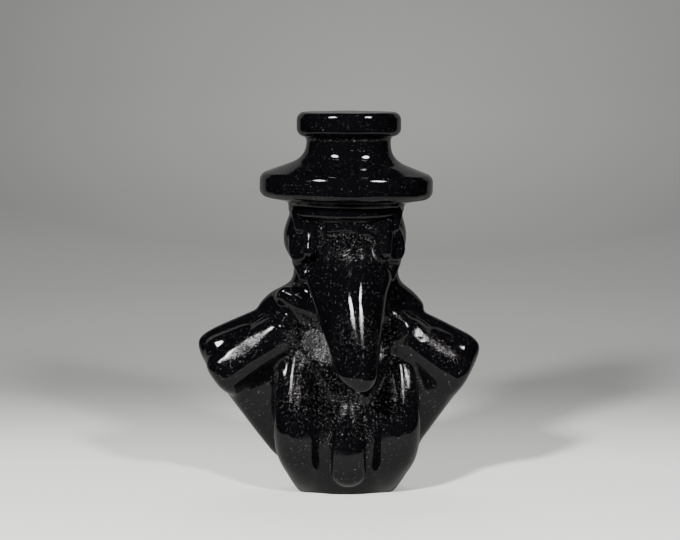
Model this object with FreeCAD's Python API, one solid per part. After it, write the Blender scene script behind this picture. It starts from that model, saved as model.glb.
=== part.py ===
"""Carved bust of a plague doctor: a beaked, goggled head under a brimmed hat, on a coated torso with short arms.

Millimetres. The origin is the centre of the flat base, +Z is up and the beak points along -Y. Left and right are
as seen from the front, so left is at -X. The figure is carved from one block of stone. Each solid below is one
carved form, and neighbouring forms share faces, so that together they fill the block without gap or overlap.
"""

import FreeCAD
import Part
import math
import os

V = FreeCAD.Vector

# Hat: turned shapes on a slightly tilted axis
HEIGHT = 100.0
HAT_TILT = 1.0          # degrees, lower towards +X
TILT_RISE = 0.24        # how much the tilt lifts the top disc's higher side
HAT_X = 0.5
CROWN_SHIFT = 0.4       # how far the crown stands right of the brim's axis
BRIM_R = 22.9
BRIM_LOW = 77.7         # lower end of the rim's side
BRIM_HIGH = 83.4        # upper end of the rim's side
BRIM_ROUND = 2.3
UNDERSIDE = 76.0        # the brim's flat underside, and its radius
UNDERSIDE_R = 14.0
WAIST_R = 11.15
WAIST_LOW = 88.0        # where the brim's slope meets the waist
FLARE_R = 16.0          # the waist's flared foot, just under the slope
FLARE_LOW = 85.6
FLARE_HIGH = 87.6
FLARE_ROUND = 4.0
DISC_R = 13.75
DISC_LOW = 93.6
DISC_ROUND = 2.1
BAND_R = 15.0
BAND_LOW = 73.0
BAND_HIGH = 77.0
BAND_DIP = 3.0          # degrees, lower over the brow

# Torso
TIP_LEFT = 39.0         # reach of the shoulders
TIP_RIGHT = 36.3
DROP_RIGHT = 1.2        # the right arm hangs lower
ARM_SQUARENESS = 0.8    # 1 is an oval section, less is squarer
ARM_EGG = 0.25          # how much thicker the arm is above than below
LAPEL_SKIN = 1.2        # how far the lapels stand out of the coat
TIE_X = 1.2
TIE_DEEP = 5.2

# Goggles: an oval ring round a domed lens, and a thick inner side next to the beak
RING_SIZE = (5.0, 3.6)          # half height and half width
WELL_SIZE = (3.9, 2.7)
LENS_SIZE = (3.5, 2.35)
RING_LONG = 4.0
RING_LIP = 0.5
LENS_BULGE = 1.5
GOGGLE_TURN = 26.0              # degrees from straight ahead
GOGGLE_TILT = 24.0              # degrees up
GOGGLE_PLACE = (11.7, -7.9, 66.0)
INNER_PLACE = (9.3, -11.2, 66.4)
INNER_SIZE = (1.6, 1.8, 4.3)
GOGGLES_X = 0.8

# Coat sections: height, half-width, centre x, front y, back y
COAT = [
    (0.0, 12.0, 0.5, -11.0, 11.3),
    (3.0, 14.5, 0.5, -13.0, 12.6),
    (7.2, 17.1, 0.6, -14.8, 13.4),
    (12.0, 18.4, 0.9, -15.6, 13.9),
    (17.0, 18.4, 1.0, -15.6, 14.0),
    (26.0, 17.4, 0.9, -14.6, 14.0),
    (34.0, 16.2, 0.6, -13.1, 13.8),
    (38.0, 15.6, 0.5, -11.2, 13.4),
    (42.0, 14.8, 0.3, -8.7, 12.8),
    (46.0, 14.0, 0.3, -6.3, 12.2),
    (50.0, 13.4, 0.3, -5.4, 12.0),
    (54.0, 12.8, 0.3, -5.2, 11.6),
]

# Arm sections: share of the reach, top z, bottom z, front y, back y
ARM = [
    (0.20, 51.0, 8.6, -9.0, 11.4),
    (0.40, 51.0, 8.8, -9.8, 11.6),
    (0.54, 49.8, 12.6, -10.4, 10.6),
    (0.67, 47.4, 19.4, -11.2, 9.0),
    (0.78, 45.2, 25.1, -11.2, 7.6),
    (0.88, 43.0, 30.3, -9.4, 6.0),
    (0.96, 40.9, 34.6, -6.2, 4.0),
    (1.00, 39.4, 37.2, -1.6, 1.0),
]

# Mantle sections: height, reach to the left, reach to the right, front y, back y
MANTLE = [
    (43.0, 16.0, 14.6, -7.0, 13.4),
    (46.0, 20.0, 18.4, -7.6, 14.0),
    (48.6, 21.8, 20.8, -7.9, 14.2),
    (50.4, 21.0, 20.0, -7.9, 13.8),
    (52.4, 18.8, 18.2, -7.8, 13.4),
    (54.6, 14.8, 15.6, -7.8, 12.8),
    (57.0, 13.4, 14.2, -7.8, 12.4),
]
# Soft folds under the chin: centre, half sizes, lean in degrees
CHIN_FOLDS = [
    ((-10.2, -6.0, 49.4), (7.4, 2.6, 2.4), 25.0),
    ((13.0, -6.4, 45.4), (7.6, 2.8, 2.7), 39.0),
]

# Hood sections: height, half-width, centre x, front y, back y
HOOD = [
    (47.0, 13.0, 0.3, -8.4, 11.6),
    (52.0, 13.2, 0.3, -8.4, 11.9),
    (57.0, 13.6, 0.5, -8.8, 12.6),
    (62.0, 14.2, 0.6, -9.6, 13.4),
    (67.0, 14.6, 0.6, -10.2, 14.0),
    (72.0, 14.8, 0.5, -10.8, 14.2),
    (77.0, 14.8, 0.4, -11.4, 13.8),
]
BULGE = (11.6, -0.4, 67.2)      # centre of the bulge beside the head
BULGE_SIZE = (4.6, 7.2, 6.4)    # its half sizes
CORNER = (11.4, -8.0, 59.4)     # centre of the hood's hanging front corner
CORNER_SIZE = (2.2, 2.8, 4.4)
CORNERS_X = 0.7                 # the corners lean right with the beak

# Beak sections: height, centre x, half-width, ridge y, back y
BEAK = [
    (71.0, 1.4, 7.0, -9.6, -2.0),
    (66.0, 1.4, 8.2, -14.2, -2.0),
    (62.0, 1.7, 9.0, -18.2, -3.0),
    (58.0, 1.6, 10.3, -22.1, -4.5),
    (54.0, 1.5, 9.5, -25.7, -8.0),
    (50.0, 1.9, 8.5, -28.9, -12.0),
    (46.0, 2.3, 7.6, -31.6, -16.0),
    (42.0, 2.9, 6.5, -33.8, -20.0),
    (38.0, 3.4, 5.5, -35.4, -24.0),
    (34.6, 3.9, 4.6, -36.1, -27.8),
    (33.0, 4.1, 4.0, -36.0, -29.2),
    (31.8, 4.3, 3.1, -35.6, -30.5),
    (30.9, 4.4, 2.0, -35.0, -31.7),
    (30.3, 4.5, 0.9, -34.3, -32.7),
]
BEAK_SHARP = 0.42               # how much narrower the ridge is than the back
BEAK_LEAN = 1.3                 # how far the ridge leans right
FACE = (1.0, -1.0, 75.0)
FACE_SIZE = (11.8, 11.2, 15.5)

# Big round folds down the coat's front: height, centre x, front y, radius
FOLD_LEFT = [
    (0.0, -8.4, -8.2, 3.6),
    (2.5, -9.2, -11.8, 4.2),
    (5.0, -10.0, -14.4, 4.7),
    (9.0, -11.4, -17.2, 5.4),
    (14.0, -12.2, -18.4, 5.9),
    (18.0, -12.5, -18.4, 5.9),
    (22.0, -12.5, -17.6, 5.7),
    (26.0, -12.4, -15.7, 5.3),
    (30.0, -12.2, -13.2, 4.7),
    (34.0, -11.9, -10.6, 3.8),
    (38.5, -11.3, -8.0, 2.4),
]
FOLD_RIGHT = [
    (0.0, 9.4, -8.2, 3.8),
    (2.5, 10.2, -11.8, 4.5),
    (5.0, 11.0, -14.4, 5.1),
    (9.0, 12.6, -17.1, 5.8),
    (14.0, 13.5, -18.2, 6.2),
    (18.0, 13.8, -18.2, 6.2),
    (22.0, 13.8, -17.4, 6.2),
    (26.0, 13.7, -15.5, 6.0),
    (30.0, 13.5, -13.0, 5.4),
    (34.0, 13.2, -10.4, 4.4),
    (38.5, 12.7, -7.9, 2.8),
]

# Tie sections: height, half-width, front y
TIE = [
    (2.7, 1.2, -15.8),
    (3.4, 2.9, -16.9),
    (5.0, 4.3, -18.2),
    (8.0, 5.0, -19.0),
    (12.0, 4.8, -19.0),
    (16.0, 4.5, -18.6),
    (20.0, 3.7, -17.6),
    (25.6, 2.2, -14.8),
]

# Lapel outlines on the coat's front, as x, z
LAPEL_LEFT = [(-17.4, 46.0), (-12.6, 45.8), (-7.6, 40.6), (-2.6, 31.6), (0.2, 24.6), (-4.8, 28.6), (-9.8, 37.6)]
LAPEL_RIGHT = [(18.8, 46.0), (14.2, 45.8), (10.6, 39.6), (6.2, 31.4), (2.8, 24.6), (7.4, 28.0), (12.2, 36.8)]
RING_POINTS = 16


def ring(points):
    """A closed smooth wire through points."""
    curve = Part.BSplineCurve()
    curve.interpolate(Points=points, PeriodicFlag=True)
    return Part.Wire([curve.toShape()])


def loft(wires):
    """A solid through closed wires, in order."""
    return Part.makeLoft(wires, True, False)


def around():
    """Evenly spaced angles of one turn."""
    return [2 * math.pi * i / RING_POINTS for i in range(RING_POINTS)]


def level_oval(z, half, centre_x, front, back):
    """A horizontal oval section."""
    centre_y = 0.5 * (front + back)
    deep = 0.5 * (back - front)
    return ring([V(centre_x + half * math.sin(t), centre_y - deep * math.cos(t), z) for t in around()])


def coat_solid(skin=0.0):
    """The torso's barrel, or the same barrel with its front and sides grown by a skin."""
    return loft([level_oval(z, half + skin, x, front - skin, back) for z, half, x, front, back in COAT])


def squared(value):
    """A sine or cosine pushed towards a square wave."""
    return math.copysign(abs(value) ** ARM_SQUARENESS, value)


def arm_section(x, top, bottom, front, back):
    """An upright, squared egg across the arm, thick above and thin below."""
    centre_y = 0.5 * (front + back)
    centre_z = 0.5 * (top + bottom)
    deep = 0.5 * (back - front)
    high = 0.5 * (top - bottom)
    points = []
    for t in around():
        width = deep * squared(math.sin(t)) * (1 + ARM_EGG * math.cos(t))
        points.append(V(x, centre_y + width, centre_z + high * squared(math.cos(t))))
    return ring(points)


def arm_solid(reach, drop):
    """A short arm from inside the coat out to the shoulder's tip; a negative reach goes left."""
    sections = []
    for share, top, bottom, front, back in ARM:
        fall = drop * share
        sections.append(arm_section(share * reach, top - fall, bottom - fall, front, back))
    return loft(sections)


def ellipsoid(centre, half_sizes, lean=0.0):
    """A ball stretched to three half sizes, its long side leaning down towards +X by lean degrees."""
    stretch = FreeCAD.Matrix()
    stretch.scale(V(*half_sizes))
    ball = Part.makeSphere(1.0).transformGeometry(stretch)
    ball.rotate(V(0, 0, 0), V(0, 1, 0), lean)
    ball.translate(V(*centre))
    return ball


def mantle_solid():
    """The collar round the neck, ending in a step on the shoulders, with a soft fold on each side of the chin."""
    sections = []
    for z, left, right, front, back in MANTLE:
        sections.append(level_oval(z, 0.5 * (left + right), 0.5 * (right - left), front, back))
    mantle = loft(sections)
    for centre, half_sizes, lean in CHIN_FOLDS:
        mantle = mantle.fuse(ellipsoid(centre, half_sizes, lean))
    return mantle


def hood_solid():
    """The head, with a bulge and a hanging front corner on each side."""
    hood = loft([level_oval(*section) for section in HOOD])
    for side in (-1, 1):
        hood = hood.fuse(ellipsoid((side * BULGE[0], BULGE[1], BULGE[2]), BULGE_SIZE))
        hood = hood.fuse(ellipsoid((CORNERS_X + side * CORNER[0], CORNER[1], CORNER[2]), CORNER_SIZE))
    return hood


def beak_section(z, centre_x, half, ridge, back):
    """A horizontal egg, narrow in front where the beak's leaning ridge runs."""
    centre_y = 0.5 * (ridge + back)
    deep = 0.5 * (back - ridge)
    points = []
    for t in around():
        ahead = math.cos(t)
        x = centre_x + BEAK_LEAN * ahead + half * math.sin(t) * (1 - BEAK_SHARP * ahead)
        points.append(V(x, centre_y - deep * ahead, z))
    return ring(points)


def mask_solid():
    """The face under the brow, running down into the beak."""
    beak = loft([beak_section(*section) for section in BEAK])
    return beak.fuse(ellipsoid(FACE, FACE_SIZE))


def turned(outline):
    """A solid of revolution about Z from a closed half outline of radius and height."""
    wire = Part.makePolygon([V(r, 0, z) for r, z in outline + outline[:1]])
    return Part.Face(wire).revolve(V(0, 0, 0), V(0, 0, 1), 360)


def rounded(solid, radius, height, size):
    """The solid with its circular edge at that radius and height rounded."""
    edges = []
    for edge in solid.Edges:
        curve = edge.Curve
        if isinstance(curve, Part.Circle):
            if abs(curve.Radius - radius) < 0.01 and abs(curve.Center.z - height) < 0.01:
                edges.append(edge)
    return solid.makeFillet(size, edges)


def on_hat_axis(solid, shift=0.0):
    """Moves a turned piece from Z onto the hat's slightly tilted axis."""
    solid.rotate(V(0, 0, UNDERSIDE), V(0, 1, 0), HAT_TILT)
    solid.translate(V(HAT_X + shift, 0, 0))
    return solid


def crown_solid():
    """The hat's crown: a waist with a flared foot, under a thick disc."""
    top = HEIGHT - TILT_RISE
    crown = turned([(0, FLARE_LOW - 1.0), (FLARE_R, FLARE_LOW - 1.0), (FLARE_R, FLARE_LOW), (WAIST_R, FLARE_HIGH),
                    (WAIST_R, DISC_LOW), (DISC_R, DISC_LOW), (DISC_R, top), (0, top)])
    crown = rounded(crown, WAIST_R, FLARE_HIGH, FLARE_ROUND)
    crown = rounded(crown, DISC_R, top, DISC_ROUND)
    crown = rounded(crown, DISC_R, DISC_LOW, DISC_ROUND)
    return on_hat_axis(crown, CROWN_SHIFT)


def brim_solid():
    """The hat's thick brim with its sloping top."""
    brim = turned([(0, UNDERSIDE), (UNDERSIDE_R, UNDERSIDE), (BRIM_R, BRIM_LOW), (BRIM_R, BRIM_HIGH),
                   (WAIST_R, WAIST_LOW), (0, WAIST_LOW)])
    brim = rounded(brim, BRIM_R, BRIM_HIGH, BRIM_ROUND)
    brim = rounded(brim, BRIM_R, BRIM_LOW, BRIM_ROUND)
    return on_hat_axis(brim)


def band_solid():
    """The band between the head and the brim."""
    band = Part.makeCylinder(BAND_R, BAND_HIGH - BAND_LOW, V(HAT_X, 0, BAND_LOW))
    band.rotate(V(0, 0, BAND_LOW), V(1, 0, 0), BAND_DIP)
    return band


def oval_plug(size, low, high):
    """An upright plug of oval section; size is its half sizes along Y and X."""
    oval = Part.Ellipse(V(0, size[0], low), V(size[1], 0, low), V(0, 0, low))
    return Part.Face(Part.Wire([oval.toShape()])).extrude(V(0, 0, high - low))


def goggle_solid(side):
    """An oval ring with a domed lens, facing out and up; side is -1 for left and 1 for right."""
    goggle = oval_plug(RING_SIZE, -RING_LONG, RING_LIP)
    goggle = goggle.cut(oval_plug(WELL_SIZE, 0.0, 2 * RING_LIP))
    goggle = goggle.fuse(ellipsoid((0, 0, 0), (LENS_SIZE[1], LENS_SIZE[0], LENS_BULGE)))
    goggle.rotate(V(0, 0, 0), V(1, 0, 0), 90 - GOGGLE_TILT)
    goggle.rotate(V(0, 0, 0), V(0, 0, 1), side * GOGGLE_TURN)
    goggle.translate(V(GOGGLES_X + side * GOGGLE_PLACE[0], GOGGLE_PLACE[1], GOGGLE_PLACE[2]))
    inner = ellipsoid((GOGGLES_X + side * INNER_PLACE[0], INNER_PLACE[1], INNER_PLACE[2]), INNER_SIZE)
    return goggle.fuse(inner)


def lapel_solid(outline):
    """A lapel standing out of the coat by a skin, inside an outline seen from the front."""
    front, deep = -30.0, 26.0
    face = Part.Face(ring([V(x, front, z) for x, z in outline]))
    return face.extrude(V(0, deep, 0)).common(coat_solid(LAPEL_SKIN))


def fold_solid(sections):
    """A big round fold down the coat's front."""
    return loft([level_oval(z, radius, x, front, front + 2 * radius) for z, x, front, radius in sections])


def tie_solid():
    """The tab down the coat's front, narrow above and round at its foot."""
    return loft([level_oval(z, half, TIE_X, front, front + TIE_DEEP) for z, half, front in TIE])


def carved_apart(forms):
    """Each form less every form before it, so that neighbours share faces."""
    nodes = {}
    for name, solid in forms:
        for other in nodes.values():
            if solid.BoundBox.intersect(other.BoundBox):
                solid = solid.cut(other)
        nodes[name] = max(solid.Solids, key=lambda piece: piece.Volume)
    return nodes


def main():
    os.makedirs("parts", exist_ok=True)
    forms = [
        ("coat", coat_solid()),
        ("arm_left", arm_solid(-TIP_LEFT, 0.0)),
        ("arm_right", arm_solid(TIP_RIGHT, DROP_RIGHT)),
        ("hat_brim", brim_solid()),
        ("hat_crown", crown_solid()),
        ("hat_band", band_solid()),
        ("hood", hood_solid()),
        ("mantle", mantle_solid()),
        ("beaked_mask", mask_solid()),
        ("goggle_left", goggle_solid(-1)),
        ("goggle_right", goggle_solid(1)),
        ("lapel_left", lapel_solid(LAPEL_LEFT)),
        ("lapel_right", lapel_solid(LAPEL_RIGHT)),
        ("coat_fold_left", fold_solid(FOLD_LEFT)),
        ("coat_fold_right", fold_solid(FOLD_RIGHT)),
        ("neck_tie", tie_solid()),
    ]
    for name, solid in carved_apart(forms).items():
        if not solid.isValid():
            raise SystemExit(name + " is not a valid solid")
        solid.exportStep(os.path.join("parts", name + ".step"))
        print("%-16s %9.1f mm3" % (name, solid.Volume))


main()
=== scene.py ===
"""Plague doctor bust, hand-carved from one block of polished black obsidian.

The stone is sculpted as one smooth distance field in millimetres. The field is then cut into the carved
forms (hat, hood, beaked mask, coat and so on), and every form becomes its own closed mesh, meeting its
neighbours face to face. Left and right are as seen from the front, and the beak points along -Y.
"""
import math

import bpy
import numpy as np
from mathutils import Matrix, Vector


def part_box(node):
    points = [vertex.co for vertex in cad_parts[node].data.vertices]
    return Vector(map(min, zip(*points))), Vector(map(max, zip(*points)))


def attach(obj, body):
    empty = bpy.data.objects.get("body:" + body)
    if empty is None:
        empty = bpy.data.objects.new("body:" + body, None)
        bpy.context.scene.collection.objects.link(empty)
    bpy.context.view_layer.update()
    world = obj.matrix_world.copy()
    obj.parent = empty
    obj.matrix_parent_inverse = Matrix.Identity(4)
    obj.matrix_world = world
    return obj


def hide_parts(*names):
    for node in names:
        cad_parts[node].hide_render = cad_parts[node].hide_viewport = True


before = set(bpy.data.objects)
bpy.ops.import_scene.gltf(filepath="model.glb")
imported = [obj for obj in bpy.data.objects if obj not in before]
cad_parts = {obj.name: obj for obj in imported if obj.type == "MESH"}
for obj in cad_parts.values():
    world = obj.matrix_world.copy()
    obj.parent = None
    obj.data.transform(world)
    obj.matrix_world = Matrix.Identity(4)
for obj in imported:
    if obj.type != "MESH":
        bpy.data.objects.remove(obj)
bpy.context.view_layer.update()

MM = 0.001
VOXEL = 0.4             # mm, the mesh's grain
BLOCK = 4               # voxels per side of the blocks that are skipped away from the surface
FAR = 50.0              # a distance that stands for "nowhere near"
GRID_LOW = np.array([-42.0, -40.0, -2.0])
GRID_HIGH = np.array([40.0, 26.0, 102.0])


# ---------------------------------------------------------------- maths of smooth forms

def smooth_min(a, b, k):
    """The union of two distances, with a fillet about k wide."""
    h = np.maximum(k - np.abs(a - b), 0.0) / k
    return np.minimum(a, b) - h * h * k * 0.25


def smooth_max(a, b, k):
    """The intersection of two distances, with its edge eased by k."""
    return -smooth_min(-a, -b, k)


def smooth_step(low, high, value):
    t = np.clip((value - low) / (high - low), 0.0, 1.0)
    return t * t * (3.0 - 2.0 * t)


class Curve:
    """A smooth curve through rows of (position, value, value, ...), as a natural cubic spline."""

    def __init__(self, rows):
        rows = np.array(sorted(rows), dtype=float)
        self.at = rows[:, 0]
        self.values = rows[:, 1:]
        n = len(self.at)
        gap = np.diff(self.at)
        matrix = np.eye(n)
        right = np.zeros_like(self.values)
        for i in range(1, n - 1):
            matrix[i, i - 1:i + 2] = gap[i - 1], 2 * (gap[i - 1] + gap[i]), gap[i]
            slope_after = (self.values[i + 1] - self.values[i]) / gap[i]
            slope_before = (self.values[i] - self.values[i - 1]) / gap[i - 1]
            right[i] = 6 * (slope_after - slope_before)
        self.bend = np.linalg.solve(matrix, right)

    def __call__(self, position):
        """The values at positions, held constant past the two ends."""
        position = np.clip(position, self.at[0], self.at[-1])
        i = np.clip(np.searchsorted(self.at, position) - 1, 0, len(self.at) - 2)
        gap = (self.at[i + 1] - self.at[i])[:, None]
        b = (position - self.at[i])[:, None] / gap
        a = 1 - b
        line = a * self.values[i] + b * self.values[i + 1]
        curl = (a ** 3 - a) * self.bend[i] + (b ** 3 - b) * self.bend[i + 1]
        return (line + curl * gap * gap / 6).T


def ellipsoid(p, centre, half_sizes):
    """Distance to a ball stretched to three half sizes."""
    q = (p - np.array(centre)) / np.array(half_sizes)
    k0 = np.sqrt((q * q).sum(1))
    k1 = np.sqrt(((q / np.array(half_sizes)) ** 2).sum(1)) + 1e-6
    return k0 * (k0 - 1) / k1


def limb(p, start, end, radius_start, radius_end, flat=(1.0, 1.0, 1.0)):
    """Distance to a tapering rod with round ends, squeezed along the axes by flat."""
    flat = np.array(flat)
    q = p / flat
    a = np.array(start) / flat
    b = np.array(end) / flat
    along = b - a
    t = np.clip(((q - a) @ along) / (along @ along), 0, 1)
    gap = np.sqrt(((q - a - t[:, None] * along) ** 2).sum(1))
    return (gap - radius_start - t * (radius_end - radius_start)) * flat.min()


def oval(u, v, half_u, half_v):
    """Distance to an ellipse whose half sizes may differ from point to point."""
    a = u / half_u
    b = v / half_v
    k0 = np.sqrt(a * a + b * b)
    k1 = np.sqrt((a / half_u) ** 2 + (b / half_v) ** 2) + 1e-6
    return k0 * (k0 - 1) / k1


def polygon(u, v, corners):
    """Signed distance to a polygon, negative inside."""
    nearest = np.full(u.shape, np.inf)
    sign = np.ones(u.shape)
    count = len(corners)
    for i in range(count):
        ax, ay = corners[i]
        bx, by = corners[i - 1]
        ex, ey = bx - ax, by - ay
        wx, wy = u - ax, v - ay
        t = np.clip((wx * ex + wy * ey) / (ex * ex + ey * ey), 0, 1)
        nearest = np.minimum(nearest, (wx - t * ex) ** 2 + (wy - t * ey) ** 2)
        above = v >= ay
        below = v < by
        left = ex * wy > ey * wx
        flip = (above & below & left) | (~above & ~below & ~left)
        sign = np.where(flip, -sign, sign)
    return sign * np.sqrt(nearest)


def inset(corners, depth):
    """A convex polygon, counter-clockwise, moved inwards by depth."""
    lines = []
    count = len(corners)
    for i in range(count):
        a = np.array(corners[i], dtype=float)
        b = np.array(corners[(i + 1) % count], dtype=float)
        along = (b - a) / np.linalg.norm(b - a)
        inward = np.array([-along[1], along[0]])
        lines.append((inward, inward @ a + depth))
    moved = []
    for i in range(count):
        matrix = np.array([lines[i - 1][0], lines[i][0]])
        moved.append(tuple(np.linalg.solve(matrix, [lines[i - 1][1], lines[i][1]])))
    return moved


def rounded_polygon(u, v, corners, radius):
    """Signed distance to a convex polygon with its corners rounded."""
    return polygon(u, v, inset(corners, radius)) - radius


def facing(turn, tilt):
    """A unit vector turned outwards from the front and tilted up, in degrees, on the positive side."""
    turn, tilt = math.radians(turn), math.radians(tilt)
    return np.array([math.sin(turn) * math.cos(tilt), -math.cos(turn) * math.cos(tilt), math.sin(tilt)])


def faceted(p, planes, ease):
    """Distance to a convex block cut by planes, each a (normal, point on it), with eased edges."""
    block = None
    for normal, through in planes:
        face = (p - np.array(through)) @ normal
        block = face if block is None else smooth_max(block, face, ease)
    return block


def chain(p, beads):
    """Distance to a smooth worm through beads of (x, y, z, radius)."""
    worm = None
    for start, end in zip(beads, beads[1:]):
        link = limb(p, start[:3], end[:3], start[3], end[3])
        worm = link if worm is None else np.minimum(worm, link)
    return worm


def eased_path(points, steps=6):
    """Points along a smooth line through a few given points."""
    points = np.array(points, dtype=float)
    rows = [(float(i),) + tuple(point) for i, point in enumerate(points)]
    at = np.linspace(0, len(points) - 1, (len(points) - 1) * steps + 1)
    return Curve(rows)(at).T


def path_distance(u, v, points, reach):
    """Distance to a smooth line in the plane, positive on its right, and how far along it (0 to 1) that is."""
    path = eased_path(points)
    distance = np.full(u.shape, FAR)
    along = np.zeros(u.shape)
    low = path.min(0) - reach
    high = path.max(0) + reach
    near = np.nonzero((u > low[0]) & (u < high[0]) & (v > low[1]) & (v < high[1]))[0]
    if not len(near):
        return distance, along
    q = np.stack([u[near], v[near]], 1)
    best = np.full(len(near), FAR)
    where = np.zeros(len(near))
    side = np.ones(len(near))
    for i in range(len(path) - 1):
        step = path[i + 1] - path[i]
        away = q - path[i]
        t = np.clip((away @ step) / (step @ step), 0, 1)
        gap = np.sqrt(((away - t[:, None] * step) ** 2).sum(1))
        closer = gap < best
        best[closer] = gap[closer]
        where[closer] = (i + t[closer]) / (len(path) - 1)
        side[closer] = np.where(away[closer, 0] * step[1] - away[closer, 1] * step[0] < 0, -1.0, 1.0)
    distance[near] = best * side
    along[near] = where
    return distance, along


def waves(p, size, seed):
    """Smooth, seeded unevenness between -1 and 1, with features about size across."""
    rng = np.random.default_rng(seed)
    total = np.zeros(len(p))
    count = 7
    for _ in range(count):
        direction = rng.normal(size=3)
        direction /= np.linalg.norm(direction)
        bend = rng.normal(size=3)
        bend /= np.linalg.norm(bend)
        pace = 2 * math.pi / size * rng.uniform(0.6, 1.2)
        phase, other = rng.uniform(0, 2 * math.pi, 2)
        total += np.sin((p @ direction) * pace + phase + 1.3 * np.sin((p @ bend) * pace * 0.6 + other))
    return total / count


# ---------------------------------------------------------------- sizes taken from the CAD parts in model.glb

def node_box(name):
    """A CAD node's lowest and highest corners in millimetres."""
    low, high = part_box(name)
    return np.array(low) / MM, np.array(high) / MM


brim_low, brim_high = node_box("hat_brim")
crown_low, crown_high = node_box("hat_crown")

HAT_X = 0.5 * (brim_low[0] + brim_high[0])
CROWN_X = 0.5 * (crown_low[0] + crown_high[0])
BRIM_R = 0.5 * (brim_high[1] - brim_low[1])
DISC_R = 0.5 * (crown_high[1] - crown_low[1])
HAT_TOP = crown_high[2]
BRIM_TILT = math.radians(1.0)
TIP_LEFT = -node_box("arm_left")[0][0]
TIP_RIGHT = node_box("arm_right")[1][0]


# ---------------------------------------------------------------- the carved forms

WAIST_R = 11.1


def hat_crown(p):
    """A waist under a thick disc with eased edges."""
    r = np.hypot(p[:, 0] - CROWN_X, p[:, 1])
    z = p[:, 2]
    disc = rounded_polygon(r, z, [(-DISC_R, 93.6), (DISC_R, 93.6), (DISC_R, HAT_TOP), (-DISC_R, HAT_TOP)], 2.1)
    waist = np.maximum(r - WAIST_R, np.abs(z - 90.5) - 5.0)
    return smooth_min(disc, waist, 1.2)


def hat_brim(p):
    """A thick rim, slightly tilted, with a sloping top and a sloping underside."""
    x = p[:, 0] - HAT_X
    z = p[:, 2] - 80.0
    c, s = math.cos(BRIM_TILT), math.sin(BRIM_TILT)
    r = np.hypot(c * x - s * z, p[:, 1])
    z = s * x + c * z + 80.0
    outline = [(-14.0, 76.0), (14.0, 76.0), (BRIM_R, 77.7), (BRIM_R, 83.4), (9.0, 88.7),
               (-9.0, 88.7), (-BRIM_R, 83.4), (-BRIM_R, 77.7)]
    return rounded_polygon(r, z, outline, 2.3)


def hat_band(p):
    """A plain band round the head, lower over the brow."""
    x, y, z = p.T
    dip = 0.055 * y
    return smooth_max(np.hypot(x - HAT_X, y) - 15.3, np.abs(z - dip - 75.1) - 1.9, 1.6)


# height, half-width, centre x, front, back
HOOD = Curve([
    (46.0, 13.0, 0.3, -8.4, 11.6),
    (52.0, 13.2, 0.3, -8.4, 11.9),
    (57.0, 13.6, 0.5, -8.8, 12.6),
    (62.0, 14.2, 0.6, -9.6, 13.4),
    (67.0, 14.6, 0.6, -10.2, 14.0),
    (72.0, 14.8, 0.5, -10.8, 14.2),
    (78.0, 14.8, 0.4, -11.4, 13.8),
])


def hood(p):
    """The head, with a bulge at each side and two hanging front corners."""
    x, y, z = p.T
    half, centre, front, back = HOOD(z)
    head = oval(x - centre, y - 0.5 * (front + back), half, 0.5 * (back - front))
    head = smooth_max(head, np.abs(z - 62.0) - 15.0, 1.0)
    for side in (-1, 1):
        bulge = ellipsoid(p, (0.2 + side * 11.6, -0.4, 67.2), (4.6, 7.2, 6.4))
        edge = limb(p, (0.8 + side * 13.6, -6.4, 74.0), (0.8 + side * 12.6, -8.4, 70.0), 1.0, 1.0)
        corner = limb(p, (0.7 + side * 12.4, -7.4, 61.0), (0.8 + side * 11.0, -9.4, 57.0), 1.8, 1.4)
        head = smooth_min(head, bulge, 2.0)
        head = smooth_min(head, smooth_min(edge, corner, 1.0), 1.6)
    return head


# height, centre x, half-width, front, back
BEAK = Curve([
    (71.0, 1.4, 7.0, -9.6, -2.0),
    (68.0, 1.4, 7.6, -12.2, -2.0),
    (66.0, 1.4, 8.2, -14.2, -2.0),
    (62.0, 1.7, 9.0, -18.2, -3.0),
    (58.0, 1.6, 10.3, -22.1, -4.5),
    (54.0, 1.5, 9.5, -25.7, -8.0),
    (50.0, 1.9, 8.5, -28.9, -12.0),
    (46.0, 2.3, 7.6, -31.6, -16.0),
    (42.0, 2.9, 6.5, -33.8, -20.0),
    (38.0, 3.4, 5.5, -35.4, -24.0),
    (34.0, 3.9, 4.5, -36.2, -28.4),
    (30.0, 4.6, 3.6, -36.4, -30.8),
])
BEAK_CAP = 4.4          # height of the round tip
BEAK_TIP = 30.2
BEAK_SHARP = 0.42       # how much narrower the ridge is than the back
BEAK_LEAN = 1.3         # how far the ridge leans right


def beaked_mask(p):
    """The face under the brow, running down into the beak with its round ridge and flat flanks."""
    x, y, z = p.T
    centre, half, front, back = BEAK(z)
    deep = 0.5 * (back - front)
    v = (0.5 * (front + back) - y) / deep
    u = (x - centre - BEAK_LEAN * np.clip(v, -1.1, 1.1)) / half / (1 - BEAK_SHARP * np.clip(v, -1.1, 1.1))
    w = np.maximum(BEAK_TIP + BEAK_CAP - z, 0) / BEAK_CAP
    beak = (np.sqrt(u * u + v * v + w * w) - 1) * np.minimum(half, deep) * 0.8
    beak = smooth_max(beak, z - 70.6, 1.0)
    face = ellipsoid(p, (1.0, -1.0, 75.0), (11.8, 11.2, 15.5))
    brow = chain(p, [(-4.0, -10.7, 69.6, 0.9), (1.0, -11.5, 70.1, 0.9), (6.0, -11.0, 68.9, 0.9),
                     (8.4, -9.8, 67.4, 0.8)])
    return smooth_min(smooth_min(face, beak, 1.8), brow, 1.0)


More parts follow.
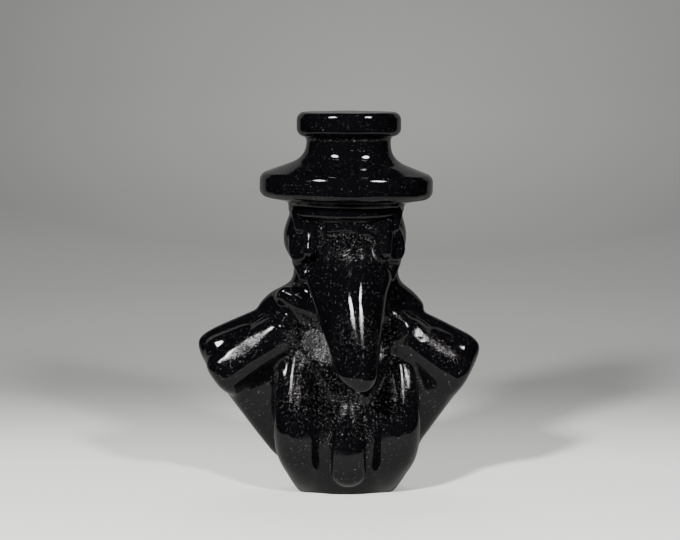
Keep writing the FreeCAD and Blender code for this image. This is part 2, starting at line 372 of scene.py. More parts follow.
def goggle(p, side):
    """A domed lens in a raised oval ring, leaning with the face, and the ring's thick side by the beak."""
    out = facing(26.0, 24.0) * np.array([side, 1, 1])
    across = np.cross(out, (0, 0, 1))
    across /= np.linalg.norm(across)
    upward = np.cross(across, out)
    q = p - np.array([0.8 + side * 11.7, -7.9, 66.0])
    u = q @ across
    v = q @ upward
    w = q @ out
    lens = np.sqrt((u / 2.7) ** 2 + (v / 3.9) ** 2 + (w / 1.5) ** 2)
    lens = (lens - 1) * 1.5
    ring = np.hypot(oval(u, v, 2.8, 4.2), w - 0.1) - 0.8
    thick = 1.7 if side < 0 else 2.1
    inner = limb(p, (1.1 + side * 9.6, -9.2, 70.0), (0.7 + side * 9.6, -12.6, 64.2), thick, thick)
    return smooth_min(smooth_min(lens, ring, 1.0), inner, 1.6)


# height, left, right, front, back
MANTLE = Curve([
    (43.0, 16.0, 14.6, -7.0, 13.0),
    (46.0, 20.0, 18.4, -7.6, 13.6),
    (48.6, 21.8, 20.8, -7.9, 13.8),
    (50.4, 21.0, 20.0, -7.9, 13.4),
    (52.4, 18.8, 18.2, -7.8, 13.0),
    (54.6, 14.8, 15.6, -7.8, 12.4),
    (57.0, 13.0, 14.0, -7.8, 12.0),
])


def mantle(p):
    """A collar round the neck, ending in a step on each shoulder, with a soft fold on each side of the chin."""
    x, y, z = p.T
    left, right, front, back = MANTLE(z)
    middle_x = 0.5 * (right - left)
    middle_y = 0.5 * (front + back)
    collar = oval(x - middle_x, y - middle_y, 0.5 * (left + right), 0.5 * (back - front))
    collar = smooth_max(collar, z - 57.4, 1.2)
    collar = smooth_max(collar, 42.0 - z, 1.0)
    left_fold = chain(p, [(-15.5, -4.0, 52.0, 2.2), (-10.8, -6.2, 49.2, 2.3), (-5.0, -6.8, 47.0, 2.2)])
    right_fold = chain(p, [(8.0, -7.2, 49.4, 2.3), (13.0, -6.2, 45.8, 2.6), (18.0, -4.4, 41.2, 3.2)])
    return smooth_min(collar, smooth_min(left_fold, right_fold, 1.0), 3.0)


# the arm's outline from the front: lower edge, tip and upper edge, on the positive side
ARM_EDGES = [
    ((0.802, 0, -0.597), (18.4, 0, 8.9)),
    ((0.985, 0, -0.17), (39.5, 0, 38.4)),
    ((0.80, 0, 0.60), (38.6, 0, 41.4)),
    ((0.455, 0, 0.890), (24.6, 0, 48.7)),
    ((0.0, 0, -1.0), (0, 0, 8.6)),
    ((-1.0, 0, 0.0), (8.0, 0, 0)),
]
ARM_FACES = [
    (facing(22, 46), (27.0, -1.4, 44.4)),
    (facing(-14, 2), (29.9, -9.4, 35.4)),
    (facing(38, 2), (32.6, -9.2, 35.0)),
    (facing(64, 2), (37.2, -5.6, 37.0)),
    (facing(34, -22), (27.5, -10.6, 31.0)),
    (facing(2, -14), (21.0, -9.4, 32.5)),
    (facing(156, 48), (27.0, 6.2, 44.0)),
    (facing(160, 5), (25.0, 9.0, 34.0)),
    (facing(140, -25), (27.0, 9.6, 31.0)),
]


ROLL_START = np.array([17.6, -4.8, 40.4])
ROLL_R = 6.1
ROLL_CUT = 0.08         # mm ground off the left roll's front


def arm(p, side):
    """A short arm: a soft-edged wedge with two rolls slanting down its front, the big one ground a bit flat."""
    reach = TIP_LEFT if side < 0 else TIP_RIGHT
    drop = 0.0 if side < 0 else 1.2
    q = p.copy()
    q[:, 0] = side * p[:, 0] * 38.9 / reach
    q[:, 2] = p[:, 2] + drop * smooth_step(5, 35, q[:, 0])
    wedge = faceted(q, ARM_FACES, 3.0)
    forward = 1.8 if side < 0 else -1.4
    roll = limb(q, ROLL_START, (31.2, -4.8 - forward, 31.6), ROLL_R, ROLL_R)
    if side < 0:
        ends = smooth_step(22.5, 20.0, q[:, 0]) + smooth_step(28.5, 31.5, q[:, 0])
        ground = (q - ROLL_START) @ facing(17, 32) - ROLL_R + ROLL_CUT - 0.4 * ends
        roll = smooth_max(roll, ground, 0.3)
    thin_roll = limb(q, (26.0, -3.0, 40.6), (33.2, -3.0 - 0.5 * forward, 38.2), 2.9, 2.7)
    body = smooth_min(smooth_min(wedge, roll, 2.6), thin_roll, 1.8)
    return smooth_max(body, faceted(q, ARM_EDGES, 2.0), 3.0)


# height, half-width, centre x, front, back
COAT = Curve([
    (-2.0, 10.8, 0.5, -9.8, 10.4),
    (0.6, 12.4, 0.5, -11.5, 11.6),
    (3.0, 14.5, 0.5, -13.0, 12.6),
    (7.2, 17.1, 0.6, -14.8, 13.4),
    (12.0, 18.4, 0.9, -15.6, 13.9),
    (17.0, 18.4, 1.0, -15.6, 14.0),
    (22.0, 18.0, 1.0, -15.2, 14.0),
    (26.0, 17.4, 0.9, -14.6, 14.0),
    (30.0, 16.8, 0.8, -13.9, 13.9),
    (34.0, 16.2, 0.6, -13.1, 13.8),
    (38.0, 15.6, 0.5, -11.2, 13.4),
    (42.0, 14.8, 0.3, -8.7, 12.8),
    (46.0, 14.0, 0.3, -6.3, 12.2),
    (50.0, 13.4, 0.3, -5.4, 12.0),
    (54.0, 12.8, 0.3, -5.2, 11.6),
])


def coat(p):
    """The torso's barrel, cut flat at the foot."""
    x, y, z = p.T
    half, centre, front, back = COAT(z)
    barrel = oval(x - centre, y - 0.5 * (front + back), half, 0.5 * (back - front))
    return smooth_max(smooth_max(barrel, z - 54.0, 1.0), -z, 0.5)


# height, centre x, front, radius
FOLD_LEFT = Curve([
    (0.0, -8.4, -8.2, 3.6),
    (2.5, -9.2, -11.8, 4.2),
    (5.0, -10.0, -14.4, 4.7),
    (9.0, -11.4, -17.2, 5.4),
    (14.0, -12.2, -18.4, 5.9),
    (18.0, -12.5, -18.4, 5.9),
    (22.0, -12.5, -17.6, 5.7),
    (26.0, -12.4, -15.7, 5.3),
    (30.0, -12.2, -13.2, 4.7),
    (34.0, -11.9, -10.6, 3.8),
    (39.0, -11.2, -7.8, 2.2),
])
FOLD_RIGHT = Curve([
    (0.0, 9.4, -8.2, 3.8),
    (2.5, 10.2, -11.8, 4.5),
    (5.0, 11.0, -14.4, 5.1),
    (9.0, 12.6, -17.1, 5.8),
    (14.0, 13.5, -18.2, 6.2),
    (18.0, 13.8, -18.2, 6.2),
    (22.0, 13.8, -17.4, 6.2),
    (26.0, 13.7, -15.5, 6.0),
    (30.0, 13.5, -13.0, 5.4),
    (34.0, 13.2, -10.4, 4.4),
    (39.0, 12.6, -7.7, 2.6),
])


FLUTE = 3.4             # spacing and depth of the shallow upright flutes in the folds
FLUTE_DEEP = 0.10


def fold(p, side):
    """A big round fold down the coat's front, with a thin one beside its top."""
    x, y, z = p.T
    centre, front, radius = (FOLD_LEFT if side < 0 else FOLD_RIGHT)(z)
    big = 0.85 * (np.hypot(x - centre, y - front - radius) - radius)
    big = big + FLUTE_DEEP * np.cos(2 * math.pi * (x - centre) / FLUTE) * smooth_step(16.0, 24.0, z)
    big = smooth_max(smooth_max(big, z - 38.5, 2.0), -z, 0.5)
    thin = limb(p, (side * 16.6 + 0.3, -7.0, 35.5), (side * 16.0 + 0.8, -11.4, 27.5), 1.2, 1.4)
    return smooth_min(big, thin, 1.2)


def raised(p, path, left, right, height):
    """How far a ridge along a path seen from the front lifts the surface, with its own width to each side."""
    x, y, z = p.T
    gap, along = path_distance(x, z, path, max(left, right))
    share = np.where(gap < 0, -gap / left, gap / right)
    fade = smooth_step(0.0, 0.12, along) * smooth_step(1.0, 0.88, along)
    swell = np.maximum(1 - share * share, 0) ** 1.5
    return np.where(y < 0, height * fade * swell, 0)


# the lapels' crests, as x and height
LAPEL_LEFT = [(-18.4, 45.6), (-16.0, 44.6), (-13.6, 43.2), (-11.4, 40.8), (-8.9, 38.0), (-6.9, 35.0),
              (-5.2, 31.8), (-3.4, 28.2), (-1.4, 24.6)]
LAPEL_RIGHT = [(18.6, 45.2), (16.2, 44.0), (14.0, 41.8), (12.4, 39.2), (10.9, 36.6), (9.5, 33.6), (7.9, 30.4),
               (6.1, 27.0), (4.0, 24.4)]

# height, half-width, front
TIE = Curve([
    (2.0, 3.6, -15.2),
    (4.4, 4.7, -18.0),
    (8.0, 5.0, -19.0),
    (12.0, 4.8, -19.0),
    (16.0, 4.5, -18.6),
    (20.0, 3.7, -17.6),
    (24.0, 2.6, -15.8),
    (27.0, 1.8, -13.8),
])
TIE_DEEP = 2.6
TIE_X = 1.2
TIE_HALF = 5.0
TIE_FOOT = 7.6          # height of the centre of the round foot


def neck_tie(p):
    """A tab down the coat's front, narrow above and round at its foot."""
    x, y, z = p.T
    half, front = TIE(z)
    tab = 0.85 * oval(x - TIE_X, y - front - TIE_DEEP, half, TIE_DEEP)
    foot = np.hypot(x - TIE_X, z - TIE_FOOT) - TIE_HALF
    tab = smooth_max(tab, np.where(z < TIE_FOOT, foot, np.abs(x - TIE_X) - TIE_HALF), 1.6)
    return smooth_max(tab, z - 26.0, 1.0)


# name, form, width of the fillet that joins it (None for a form that lifts the surface it lies on)
FORMS = [
    ("coat", coat, 0.0),
    ("arm_left", lambda p: arm(p, -1), 2.0),
    ("arm_right", lambda p: arm(p, 1), 2.0),
    ("mantle", mantle, 3.0),
    ("coat_fold_left", lambda p: fold(p, -1), 1.6),
    ("coat_fold_right", lambda p: fold(p, 1), 1.6),
    ("lapel_left", lambda p: raised(p, LAPEL_LEFT, 5.0, 2.2, 0.8), None),
    ("lapel_right", lambda p: raised(p, LAPEL_RIGHT, 2.2, 5.0, 0.8), None),
    ("neck_tie", neck_tie, 0.8),
    ("hood", hood, 1.6),
    ("beaked_mask", beaked_mask, 0.8),
    ("goggle_left", lambda p: goggle(p, -1), 1.4),
    ("goggle_right", lambda p: goggle(p, 1), 1.4),
    ("hat_band", hat_band, 0.6),
    ("hat_brim", hat_brim, 1.4),
    ("hat_crown", hat_crown, 4.0),
]


SHOULDER = np.array([20.2, -8.9, 42.6])
SHOULDER_CUT = 0.35     # mm taken off there
SHOULDER_SPOT = 2.0     # radius of the flat, and where the cut has run out
SHOULDER_EDGE = 3.6


def shoulder_flat(p):
    """The plane of a small flat ground on the right shoulder's front, rising clear of the stone around it."""
    away = p - SHOULDER
    deep = away @ facing(23, 32)
    aside = np.sqrt(np.maximum((away ** 2).sum(1) - deep ** 2, 0))
    edge = 1.2 * smooth_step(SHOULDER_SPOT, SHOULDER_EDGE, aside)
    beyond = 5.0 * np.maximum(aside - SHOULDER_EDGE, 0)
    return deep + SHOULDER_CUT - edge - beyond


def tooled(p):
    """Where small tool marks are left in the stone, from 0 to 1: round the eyes and brow, and on the chest."""
    x, y, z = p.T
    eyes = np.exp(-((z - 66.5) / 4.5) ** 2) * smooth_step(-6.0, -8.0, y)
    chest = np.exp(-((x + 3.0) / 11.0) ** 2 - ((z - 38.0) / 8.0) ** 2) * smooth_step(-5.0, -7.0, y)
    return np.clip(eyes + chest, 0, 1) * smooth_step(-26.0, -22.0, y)


# height, size and seed of the unevenness that hand grinding leaves, and of the tool marks
UNEVEN = ((0.10, 14.0, 3), (0.03, 5.0, 4))
MARK_HEIGHT, MARK_SIZE, MARK_SEED = 0.05, 2.4, 5


def stone(p):
    """The whole bust's distance, and each form's own distance, at points in millimetres."""
    whole = None
    apart = np.empty((len(FORMS), len(p)), dtype=np.float32)
    for i, (name, form, fillet) in enumerate(FORMS):
        distance = form(p)
        if fillet is None:
            distance = np.where(distance > 0.02, whole - distance, FAR)
        apart[i] = distance
        if whole is None:
            whole = distance
        elif fillet:
            whole = smooth_min(whole, distance, fillet)
        else:
            whole = np.minimum(whole, distance)
    whole = smooth_max(whole, shoulder_flat(p), 0.4)
    for height, size, seed in UNEVEN:
        whole = whole + height * waves(p, size, seed)
    whole = whole + MARK_HEIGHT * tooled(p) * waves(p, MARK_SIZE, MARK_SEED)
    return np.maximum(whole, -p[:, 2]), apart


# ---------------------------------------------------------------- from field to meshes

def nearby(values):
    """Which blocks hold, or touch, a change of value."""
    changed = np.zeros(values.shape, dtype=bool)
    for axis in range(3):
        before = [slice(None)] * 3
        after = [slice(None)] * 3
        before[axis] = slice(None, -1)
        after[axis] = slice(1, None)
        differs = values[tuple(before)] != values[tuple(after)]
        changed[tuple(before)] |= differs
        changed[tuple(after)] |= differs
    return changed


def grid_of_labels():
    """Labels (0 outside, 1 and up the forms) and distances on the grid, worked out only near a change."""
    step = VOXEL * BLOCK
    counts = np.ceil((GRID_HIGH - GRID_LOW) / step).astype(int)
    centres = [GRID_LOW[i] + step * (np.arange(counts[i]) + 0.5) for i in range(3)]
    coarse = np.stack(np.meshgrid(*centres, indexing="ij"), -1).reshape(-1, 3)
    whole, apart = stone(coarse)
    label = np.where(whole < 0, apart.argmin(0) + 1, 0).astype(np.int8).reshape(counts)
    active = (nearby(label) | (np.abs(whole.reshape(counts)) < step)).ravel()
    fine = np.repeat(np.repeat(np.repeat(label, BLOCK, 0), BLOCK, 1), BLOCK, 2)
    distance = np.full(fine.shape, FAR, dtype=np.float32)
    inner = (np.arange(BLOCK) + 0.5) * VOXEL
    offset = np.stack(np.meshgrid(inner, inner, inner, indexing="ij"), -1).reshape(-1, 3)
    index = np.stack(np.meshgrid(*[np.arange(BLOCK)] * 3, indexing="ij"), -1).reshape(-1, 3)
    blocks = np.stack(np.unravel_index(np.nonzero(active)[0], counts), -1)
    for part in np.array_split(blocks, max(1, len(blocks) * len(offset) // 400000)):
        places = (GRID_LOW + part * step)[:, None, :] + offset[None]
        cells = (part * BLOCK)[:, None, :] + index[None]
        whole, apart = stone(places.reshape(-1, 3))
        cells = tuple(cells.reshape(-1, 3).T)
        fine[cells] = np.where(whole < 0, apart.argmin(0) + 1, 0)
        distance[cells] = whole
    return fine, distance, GRID_LOW + 0.5 * VOXEL


def shared_net(label, distance, origin):
    """One vertex per mixed cell and one four-sided face per mixed grid edge, shared by both sides."""
    shape = np.array(label.shape)
    faces, owners, cross, outer = [], [], [], []
    for axis in range(3):
        second, third = (axis + 1) % 3, (axis + 2) % 3
        before = [slice(1, -1)] * 3
        after = [slice(1, -1)] * 3
        before[axis] = slice(1, -2)
        after[axis] = slice(2, -1)
        a, b = label[tuple(before)], label[tuple(after)]
        at = np.stack(np.nonzero(a != b), -1) + 1
        here = tuple(at.T)
        ahead = at.copy()
        ahead[:, axis] += 1
        there = tuple(ahead.T)
        fa, fb = distance[here], distance[there]
        open_edge = (label[here] == 0) | (label[there] == 0)
        t = np.where(open_edge, fa / np.where(fa == fb, 1, fa - fb), 0.5)
        point = at.astype(float)
        point[:, axis] += np.clip(t, 0.05, 0.95)
        ring = []
        for back_second, back_third in ((1, 1), (0, 1), (0, 0), (1, 0)):
            cell = at.copy()
            cell[:, second] -= back_second
            cell[:, third] -= back_third
            ring.append(np.ravel_multi_index(tuple(cell.T), tuple(shape)))
        faces.append(np.stack(ring, -1))
        owners.append(np.stack([label[here], label[there]], -1))
        cross.append(point)
        outer.append(open_edge)
    faces, owners = np.concatenate(faces), np.concatenate(owners)
    cross, outer = np.concatenate(cross), np.concatenate(outer)
    cells, inverse = np.unique(faces.ravel(), return_inverse=True)
    inverse = inverse.reshape(faces.shape)
    weight = np.where(outer, 1.0, 0.02)
    total = np.bincount(inverse.ravel(), np.repeat(weight, 4), len(cells))
    places = np.stack([np.bincount(inverse.ravel(), np.repeat(weight * cross[:, i], 4), len(cells)) / total
                       for i in range(3)], -1)
    on_surface = np.bincount(inverse.ravel(), np.repeat(outer, 4), len(cells)) > 0
    return origin + places * VOXEL, inverse, owners, on_surface


def slope(p, step=0.04):
    """The field's gradient at points."""
    result = np.empty(p.shape)
    for axis in range(3):
        move = np.zeros(3)
        move[axis] = step
        result[:, axis] = (stone(p + move)[0] - stone(p - move)[0]) / (2 * step)
    return result


def settle(places, on_surface):
    """Moves the outer vertices onto the stone's surface and returns their normals."""
    p = places[on_surface]
    for _ in range(2):
        value = stone(p)[0]
        gradient = slope(p)
        move = -value[:, None] * gradient / np.maximum((gradient ** 2).sum(1), 0.05)[:, None]
        length = np.linalg.norm(move, axis=1, keepdims=True)
        p = p + move * np.minimum(1, VOXEL / np.maximum(length, 1e-9))
    p[:, 2] = np.where(p[:, 2] < 0.02, 0.0, p[:, 2])
    gradient = slope(p)
    gradient /= np.linalg.norm(gradient, axis=1, keepdims=True) + 1e-9
    around = sum(stone(p + move)[0] for move in np.concatenate([np.eye(3), -np.eye(3)]))
    hollow = -(around - 6 * stone(p)[0])
    settled = places.copy()
    settled[on_surface] = p
    normals = np.zeros(places.shape)
    normals[:, 2] = 1
    normals[on_surface] = gradient
    hollows = np.zeros(len(places))
    hollows[on_surface] = hollow
    return settled, normals, hollows


def patch(u, v, reach_u, reach_v):
    """A soft-edged spot, 1 in its middle."""
    return np.exp(-(u / reach_u) ** 2 - (v / reach_v) ** 2)


def grain(p, hollow):
    """How unpolished the stone is, from 0 to 1: in the recesses the polisher couldn't reach."""
    x, y, z = p.T
    recess = 0.8 * smooth_step(0.25, 1.1, hollow)
    front = smooth_step(-5.0, -7.0, y) * smooth_step(-23.0, -20.0, y)
    chest = patch(x + 8.5, z - 40.5, 5.5, 5.0)
    throat = 0.8 * patch(x - 9.5, z - 42.0, 5.0, 6.0)
    middle = 0.45 * patch(x - 1.0, z - 26.0, 9.0, 9.0)
    root = 0.4 * patch(x - 1.0, z - 65.5, 6.0, 3.5)
    off_roll = (z - 39.0 + 0.64 * (np.abs(x) - 25.0)) / 1.19
    arms = 0.50 * patch(off_roll, np.abs(x) - 25.5, 2.0, 4.5)
    folds = 0.34 * patch(np.abs(x - 0.8) - 13.0, z - 27.0, 3.5, 5.0)
    ridge = 0.22 * np.exp(-((z - 44.0) / 6.0) ** 2) * smooth_step(-26.0, -29.0, y)
    return np.clip(recess + front * (chest + throat + middle + root + arms + folds) + ridge, 0, 1)


def mesh_of(name, places, normals, rough, quads):
    """A closed mesh object in metres from shared vertices and its own faces."""
    used, local = np.unique(quads.ravel(), return_inverse=True)
    mesh = bpy.data.meshes.new(name)
    mesh.vertices.add(len(used))
    mesh.vertices.foreach_set("co", (places[used] * MM).ravel())
    mesh.loops.add(quads.size)
    mesh.loops.foreach_set("vertex_index", local.ravel().astype(np.int32))
    mesh.polygons.add(len(quads))
    mesh.polygons.foreach_set("loop_start", np.arange(0, quads.size, 4, dtype=np.int32))
    mesh.polygons.foreach_set("use_smooth", np.ones(len(quads), dtype=bool))
    mesh.update(calc_edges=True)
    attribute = mesh.attributes.new("grain", "FLOAT", "POINT")
    attribute.data.foreach_set("value", rough[used].astype(np.float32))
    mesh.normals_split_custom_set_from_vertices(normals[used])
    piece = bpy.data.objects.new(name, mesh)
    bpy.context.collection.objects.link(piece)
    return piece


def carve():
    """Sculpts the stone and returns one object per carved form."""
    label, distance, origin = grid_of_labels()
    places, quads, owners, on_surface = shared_net(label, distance, origin)
    places, normals, hollow = settle(places, on_surface)
    rough = grain(places, hollow)
    pieces = {}
    for i, (name, _, _) in enumerate(FORMS):
        ahead = quads[owners[:, 0] == i + 1]
        behind = quads[owners[:, 1] == i + 1][:, ::-1]
        own = np.concatenate([ahead, behind])
        pieces[name] = mesh_of("stone_" + name, places, normals, rough, own)
        print("%-16s %7d faces" % (name, len(own)))
    return pieces


# ---------------------------------------------------------------- material

# shader roughness where polished, and how much more where unpolished
POLISHED = 0.05
UNPOLISHED = 0.26
BLACK = (0.0012, 0.0010, 0.0014, 1)
DUST = (0.32, 0.31, 0.30, 1)
RELIEF = 0.00035        # metres, height of the pits' relief


def obsidian():
    """Polished black volcanic glass, pitted and dusty where the grain attribute rises."""
    material = bpy.data.materials.new("obsidian")
    material.use_nodes = True
    nodes = material.node_tree.nodes
    links = material.node_tree.links
    shader = nodes["Principled BSDF"]
    shader.inputs["IOR"].default_value = 1.5
    place = nodes.new("ShaderNodeTexCoord")
    grain_value = nodes.new("ShaderNodeAttribute")
    grain_value.attribute_name = "grain"

    def noise(scale, detail, roughness):
        node = nodes.new("ShaderNodeTexNoise")
        node.inputs["Scale"].default_value = scale
        node.inputs["Detail"].default_value = detail
        node.inputs["Roughness"].default_value = roughness
        links.new(place.outputs["Object"], node.inputs["Vector"])
        return node.outputs["Fac"]

    def ramp(value, low, high, from_value, to_value):
        node = nodes.new("ShaderNodeMapRange")
        node.interpolation_type = "SMOOTHSTEP"
        links.new(value, node.inputs["Value"])
        node.inputs["From Min"].default_value = low
        node.inputs["From Max"].default_value = high
        node.inputs["To Min"].default_value = from_value
        node.inputs["To Max"].default_value = to_value
        return node.outputs["Result"]

    def combine(operation, a, b):
        node = nodes.new("ShaderNodeMath")
        node.operation = operation
        for socket, value in zip(node.inputs, (a, b)):
            if isinstance(value, float):
                socket.default_value = value
            else:
                links.new(value, socket)
        return node.outputs["Value"]

    patchy = noise(420.0, 3.0, 0.6)
    fine = noise(2600.0, 3.0, 0.65)
    specks = noise(3600.0, 1.0, 0.5)
    unpolished = combine("MULTIPLY", grain_value.outputs["Fac"], ramp(patchy, 0.3, 0.62, 0.35, 1.0))
    roughness = combine("ADD", combine("MULTIPLY", unpolished, UNPOLISHED), POLISHED)
    links.new(roughness, shader.inputs["Roughness"])
    dust = combine("MULTIPLY", unpolished, ramp(specks, 0.62, 0.72, 0.0, 0.8))
    dust = combine("ADD", dust, ramp(specks, 0.73, 0.765, 0.0, 0.45))
    colour = nodes.new("ShaderNodeMix")
    colour.data_type = "RGBA"
    colour.inputs["A"].default_value = BLACK
    colour.inputs["B"].default_value = DUST
    links.new(dust, colour.inputs["Factor"])
    links.new(colour.outputs["Result"], shader.inputs["Base Color"])
    relief = combine("ADD", combine("MULTIPLY", fine, unpolished), combine("MULTIPLY", specks, 0.02))
    bump = nodes.new("ShaderNodeBump")
    bump.inputs["Strength"].default_value = 1.0
    bump.inputs["Distance"].default_value = RELIEF
    links.new(relief, bump.inputs["Height"])
    links.new(bump.outputs["Normal"], shader.inputs["Normal"])
    return material


# ---------------------------------------------------------------- stage, lights and camera

PAPER_FRONT = -0.13
PAPER_FLAT = 0.07       # where the paper starts to curve up
PAPER_CURVE = 0.12
PAPER_HALF = 0.21
PAPER_TOP = 0.20
# centre and reach of a pool of light painted on the paper; the paper's far grey is painted darker away from it
PAINTED_LIGHT_SPOT = (0.02, 0.75, 0.01)
PAINTED_LIGHT_REACH = 0.24
# radius and height of the room's round wall, past which every camera stands
ROOM = ((0.001, 0.0), (0.16, 0.0), (0.30, 0.002), (0.45, 0.01), (0.62, 0.035), (0.76, 0.09),
        (0.85, 0.19), (0.88, 0.34), (0.88, 1.1))


def painted_shade_paper(name, near, far, start, end, painted_falloff=0.0):
    """Paper with painted shade: near's grey at the start and far's grey at the end of a fade along Y, the far
    part painted darker where the lamps light the far wall less.

    The far part is also painted darker, by the falloff amount, away from a bright spot behind the bust: a
    painted pool of light.
    """
    material = bpy.data.materials.new(name)
    material.use_nodes = True
    nodes = material.node_tree.nodes
    links = material.node_tree.links
    shader = nodes["Principled BSDF"]
    shader.inputs["Roughness"].default_value = 0.9
    shader.inputs["Specular IOR Level"].default_value = 0.0
    place = nodes.new("ShaderNodeTexCoord")
    split = nodes.new("ShaderNodeSeparateXYZ")
    links.new(place.outputs["Object"], split.inputs["Vector"])
    # painted shade: the paper fades from near's pale grey to the darker far grey along Y, where the far wall
    # gets less light
    fade = nodes.new("ShaderNodeMapRange")
    fade.interpolation_type = "SMOOTHSTEP"
    fade.inputs["From Min"].default_value = start
    fade.inputs["From Max"].default_value = end
    links.new(split.outputs["Y"], fade.inputs["Value"])
    # painted pool of light: the far grey is painted darker with distance from a bright spot behind the bust
    away = nodes.new("ShaderNodeVectorMath")
    away.operation = "DISTANCE"
    away.inputs[1].default_value = PAINTED_LIGHT_SPOT
    links.new(place.outputs["Object"], away.inputs[0])
    shade = nodes.new("ShaderNodeMapRange")
    shade.inputs["From Min"].default_value = 0.0
    shade.inputs["From Max"].default_value = PAINTED_LIGHT_REACH
    shade.inputs["To Min"].default_value = 1.0
    shade.inputs["To Max"].default_value = 1.0 - painted_falloff
    links.new(away.outputs["Value"], shade.inputs["Value"])
    distant = nodes.new("ShaderNodeMix")
    distant.data_type = "RGBA"
    distant.inputs["A"].default_value = (0, 0, 0, 1)
    distant.inputs["B"].default_value = (far, far * 0.998, far * 0.975, 1)
    links.new(shade.outputs["Result"], distant.inputs["Factor"])
    mix = nodes.new("ShaderNodeMix")
    mix.data_type = "RGBA"
    mix.inputs["A"].default_value = (near, near, near * 0.965, 1)
    links.new(distant.outputs["Result"], mix.inputs["B"])
    links.new(fade.outputs["Result"], mix.inputs["Factor"])
    links.new(mix.outputs["Result"], shader.inputs["Base Color"])
    return material


def sheet(name, rows, material):
    """A stage surface through rows of points of equal length."""
    vertices = [point for row in rows for point in row]
    wide = len(rows[0])
    faces = []
    for i in range(len(rows) - 1):
        for j in range(wide - 1):
            a = i * wide + j
            faces.append((a, a + 1, a + wide + 1, a + wide))
    mesh = bpy.data.meshes.new(name)
    mesh.from_pydata(vertices, [], faces)
    mesh.polygons.foreach_set("use_smooth", [True] * len(faces))
    made = bpy.data.objects.new(name, mesh)
    made.data.materials.append(material)
    bpy.context.collection.objects.link(made)
    return made


def make_stage():
    """A wide room for the camera, painted pale near the bust and darker towards its far wall and away from a
    spot behind it, as painted shade and a painted pool of light; and the small sheet of paper that the polished
    stone reflects, painted darker towards its far wall as painted shade.
    """
    rows = []
    for radius, height in ROOM:
        turn = [2 * math.pi * j / 96 for j in range(97)]
        rows.append([(radius * math.sin(t), -radius * math.cos(t), height) for t in turn])
    # painted shade and a painted pool of light: the room's paper is paler near the bust, darker towards the far
    # wall and darker away from a spot behind the bust
    room = sheet("room", rows, painted_shade_paper("room_paper_painted_shade", 0.66, 0.42, 0.02, 0.21, 0.45))
    room.visible_glossy = False
    room.visible_diffuse = False
    profile = [(PAPER_FRONT, 0.0), (PAPER_FLAT, 0.0)]
    for i in range(1, 13):
        turn = math.radians(90 * i / 12)
        profile.append((PAPER_FLAT + PAPER_CURVE * math.sin(turn), PAPER_CURVE * (1 - math.cos(turn))))
    profile.append((PAPER_FLAT + PAPER_CURVE, PAPER_TOP))
    lift = 0.0001       # keeps the paper clear of the room's floor
    rows = [[(-PAPER_HALF, y, z + lift), (PAPER_HALF, y, z + lift)] for y, z in profile]
    # painted shade: the mirrored sheet is painted darker towards and up its far wall
    paper = sheet("paper", rows, painted_shade_paper("sheet_paper_painted_shade", 0.22, 0.06, 0.03, 0.15))
    paper.visible_camera = False
    paper.visible_diffuse = False
    paper.visible_shadow = False


MIDDLE = Vector((0.0, 0.0, 0.05))      # the bust's middle


def direction(azimuth, elevation):
    """A unit vector at an azimuth from -Y, positive to the right, and an elevation, in degrees."""
    azimuth, elevation = math.radians(azimuth), math.radians(elevation)
    return Vector((math.sin(azimuth) * math.cos(elevation), -math.cos(azimuth) * math.cos(elevation),
                   math.sin(elevation)))


def add_light(name, away, distance, size, power, target=MIDDLE):
    """A round lamp that lights the scene but isn't mirrored in the stone."""
    lamp = bpy.data.lights.new(name, "AREA")
    lamp.shape = "DISK"
    lamp.size = size
    lamp.energy = power
    light = bpy.data.objects.new(name, lamp)
    light.location = target + away * distance
    light.rotation_euler = away.to_track_quat("Z", "Y").to_euler()
    light.visible_glossy = False
    bpy.context.collection.objects.link(light)


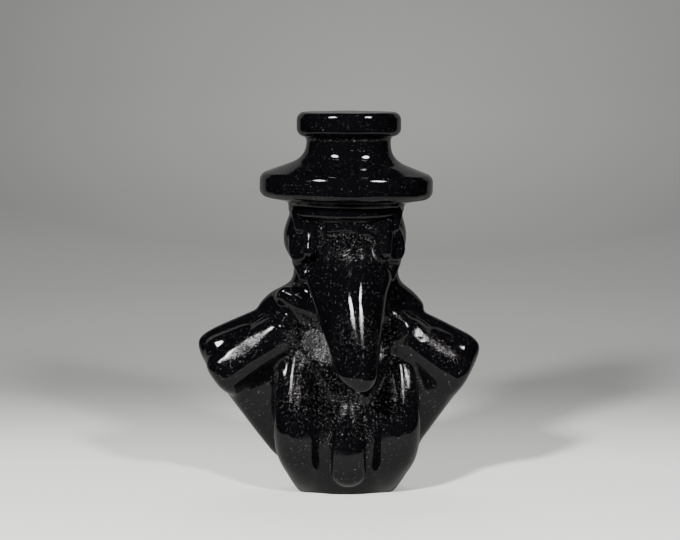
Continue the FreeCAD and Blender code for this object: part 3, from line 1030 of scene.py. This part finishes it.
def add_softbox(name, away, distance, size, strength):
    """A round glowing screen that only the polished stone mirrors."""
    middle = MIDDLE + away * distance
    across = away.cross(Vector((0, 0, 1))).normalized() * 0.5 * size
    upward = across.cross(away).normalized() * 0.5 * size
    turns = [2 * math.pi * i / 48 for i in range(48)]
    rim = [middle + across * math.cos(t) + upward * math.sin(t) for t in turns]
    mesh = bpy.data.meshes.new(name)
    mesh.from_pydata(rim, [], [tuple(range(48))])
    material = bpy.data.materials.new(name)
    material.use_nodes = True
    nodes = material.node_tree.nodes
    glow = nodes.new("ShaderNodeEmission")
    glow.inputs["Strength"].default_value = strength
    material.node_tree.links.new(glow.outputs["Emission"], nodes["Material Output"].inputs["Surface"])
    mesh.materials.append(material)
    screen = bpy.data.objects.new(name, mesh)
    screen.visible_camera = False
    screen.visible_diffuse = False
    screen.visible_shadow = False
    bpy.context.collection.objects.link(screen)


def make_lights():
    """Two high softboxes that the stone mirrors, and two low lamps that throw the long soft shadows."""
    add_softbox("softbox_left", direction(-50, 57), 0.75, 0.18, 60.0)
    add_softbox("softbox_right", direction(63, 55), 0.75, 0.18, 60.0)
    add_light("low_left", direction(-21.7, 23.5), 0.80, 0.08, 20.0)
    add_light("low_right", direction(23.4, 23.5), 0.80, 0.08, 11.0)
    add_light("soft_far", direction(180, 85), 0.32, 0.30, 1.1, Vector((0, 0.27, 0.0)))
    world = bpy.data.worlds.new("dim_room")
    world.use_nodes = True
    world.node_tree.nodes["Background"].inputs["Color"].default_value = (0.97, 0.93, 1.0, 1)
    world.node_tree.nodes["Background"].inputs["Strength"].default_value = 0.004
    bpy.context.scene.world = world


CAMERA_DISTANCE = 0.70
CAMERA_RISE = 6.0       # degrees that the camera stands above the bust's middle
CAMERA_PITCH = 5.332    # degrees that it looks down
CAMERA_YAW = 0.0867     # degrees that it looks left
CAMERA_LENS = 139.9


def make_camera():
    """A long lens a little above the bust, looking slightly down."""
    rise = math.radians(CAMERA_RISE)
    camera = bpy.data.cameras.new("camera")
    camera.lens = CAMERA_LENS
    camera.sensor_width = 36.0
    holder = bpy.data.objects.new("camera", camera)
    holder.location = MIDDLE + CAMERA_DISTANCE * Vector((0, -math.cos(rise), math.sin(rise)))
    holder.rotation_euler = (math.radians(90 - CAMERA_PITCH), 0, math.radians(CAMERA_YAW))
    bpy.context.collection.objects.link(holder)
    bpy.context.scene.camera = holder


make_camera()
make_lights()
make_stage()
stone_material = obsidian()
for name, piece in carve().items():
    piece.data.materials.append(stone_material)
    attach(piece, "root")
    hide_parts(name)
